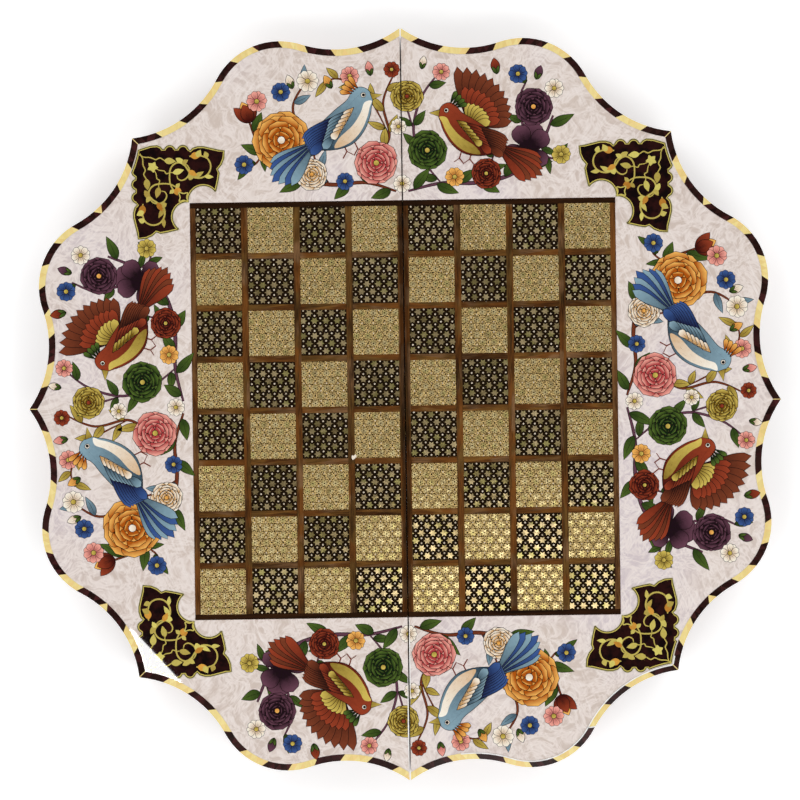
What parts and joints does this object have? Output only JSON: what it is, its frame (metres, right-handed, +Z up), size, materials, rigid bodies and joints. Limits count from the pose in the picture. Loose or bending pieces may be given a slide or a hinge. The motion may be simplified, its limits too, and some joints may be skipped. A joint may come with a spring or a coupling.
{
  "type": "folding chess and backgammon board",
  "caption": "Folding board with a wavy outline: shallow hinged trays carry an inlaid chess field on their outer faces and backgammon points in their wells.",
  "frame": {"origin": "centre of the board on the surface that it stands on, below the middle of the seam", "axes": "+Z up, out of the chess face; +Y along the seam toward the back; +X across the seam toward the right half"},
  "size_m": [0.5, 0.5004, 0.0351],
  "materials": {
    "panel_wood": "sanded plywood",
    "walnut_wall": "walnut under gloss lacquer",
    "walnut_rail": "walnut under gloss lacquer",
    "pearl_face": "brushed pearl paint under deep gloss lacquer",
    "dark_blocks": "dark wood under gloss lacquer",
    "light_blocks": "pale wood and bone under gloss lacquer",
    "ornament_lacquer": "dark lacquer with gilt scrolls under gloss",
    "dark_border": "dark walnut under gloss lacquer",
    "walnut_border": "walnut under gloss lacquer",
    "walnut_strips": "walnut under gloss lacquer",
    "warm_strips": "red-brown wood under gloss lacquer",
    "dark_marquetry": "dark star marquetry with bone and brass under gloss",
    "light_marquetry": "pale star marquetry with bone and brass under gloss",
    "well_field": "pale veneer under gloss lacquer",
    "pearl_margin": "brushed pearl paint under gloss lacquer",
    "well_frame": "walnut under gloss lacquer",
    "dark_points": "dark veneer under gloss lacquer",
    "light_points": "pale veneer under gloss lacquer",
    "magnet_metal": "nickel plated",
    "felt": "dense felt",
    "hinge_brass": "brushed brass",
    "screw_brass": "turned brass",
    "pin_brass": "drawn brass"
  },
  "bodies": {
    "left_half": {"left_core_panel": "panel_wood", "left_wall_seam_back": "walnut_wall", "left_wall_side_back": "walnut_wall", "left_wall_side_front": "walnut_wall", "left_wall_seam_front": "walnut_wall", "left_hinge_rail": "walnut_rail", "left_face_ground": "pearl_face", "left_rim_dark_blocks": "dark_blocks", "left_rim_light_blocks": "light_blocks", "left_corner_ornaments": "ornament_lacquer", "left_end_borders": "dark_border", "left_side_border": "walnut_border", "left_long_strips": "walnut_strips", "left_cross_strips": "warm_strips", "left_dark_tiles": "dark_marquetry", "left_light_tiles": "light_marquetry", "left_well_ground": "well_field", "left_well_margin": "pearl_margin", "left_well_frame": "well_frame", "left_dark_points": "dark_points", "left_light_points": "light_points", "left_magnets": "magnet_metal", "left_pads": "felt", "left_hinge_leaves": "hinge_brass", "left_hinge_screws": "screw_brass", "hinge_pins": "pin_brass"},
    "right_half": {"right_core_panel": "panel_wood", "right_wall_seam_back": "walnut_wall", "right_wall_side_back": "walnut_wall", "right_wall_side_front": "walnut_wall", "right_wall_seam_front": "walnut_wall", "right_hinge_rail": "walnut_rail", "right_face_ground": "pearl_face", "right_rim_dark_blocks": "dark_blocks", "right_rim_light_blocks": "light_blocks", "right_corner_ornaments": "ornament_lacquer", "right_end_borders": "dark_border", "right_side_border": "walnut_border", "right_long_strips": "walnut_strips", "right_cross_strips": "warm_strips", "right_dark_tiles": "dark_marquetry", "right_light_tiles": "light_marquetry", "right_well_ground": "well_field", "right_well_margin": "pearl_margin", "right_well_frame": "well_frame", "right_dark_points": "dark_points", "right_light_points": "light_points", "right_magnets": "magnet_metal", "right_pads": "felt", "right_hinge_leaves": "hinge_brass", "right_hinge_screws": "screw_brass"}
  },
  "joints": [
    {"name": "fold", "type": "hinge", "parent": "left_half", "child": "right_half", "pos_m": [0, 0, 0.0015], "axis": [0, 1, 0], "range_deg": [0, 180]}
  ]
}
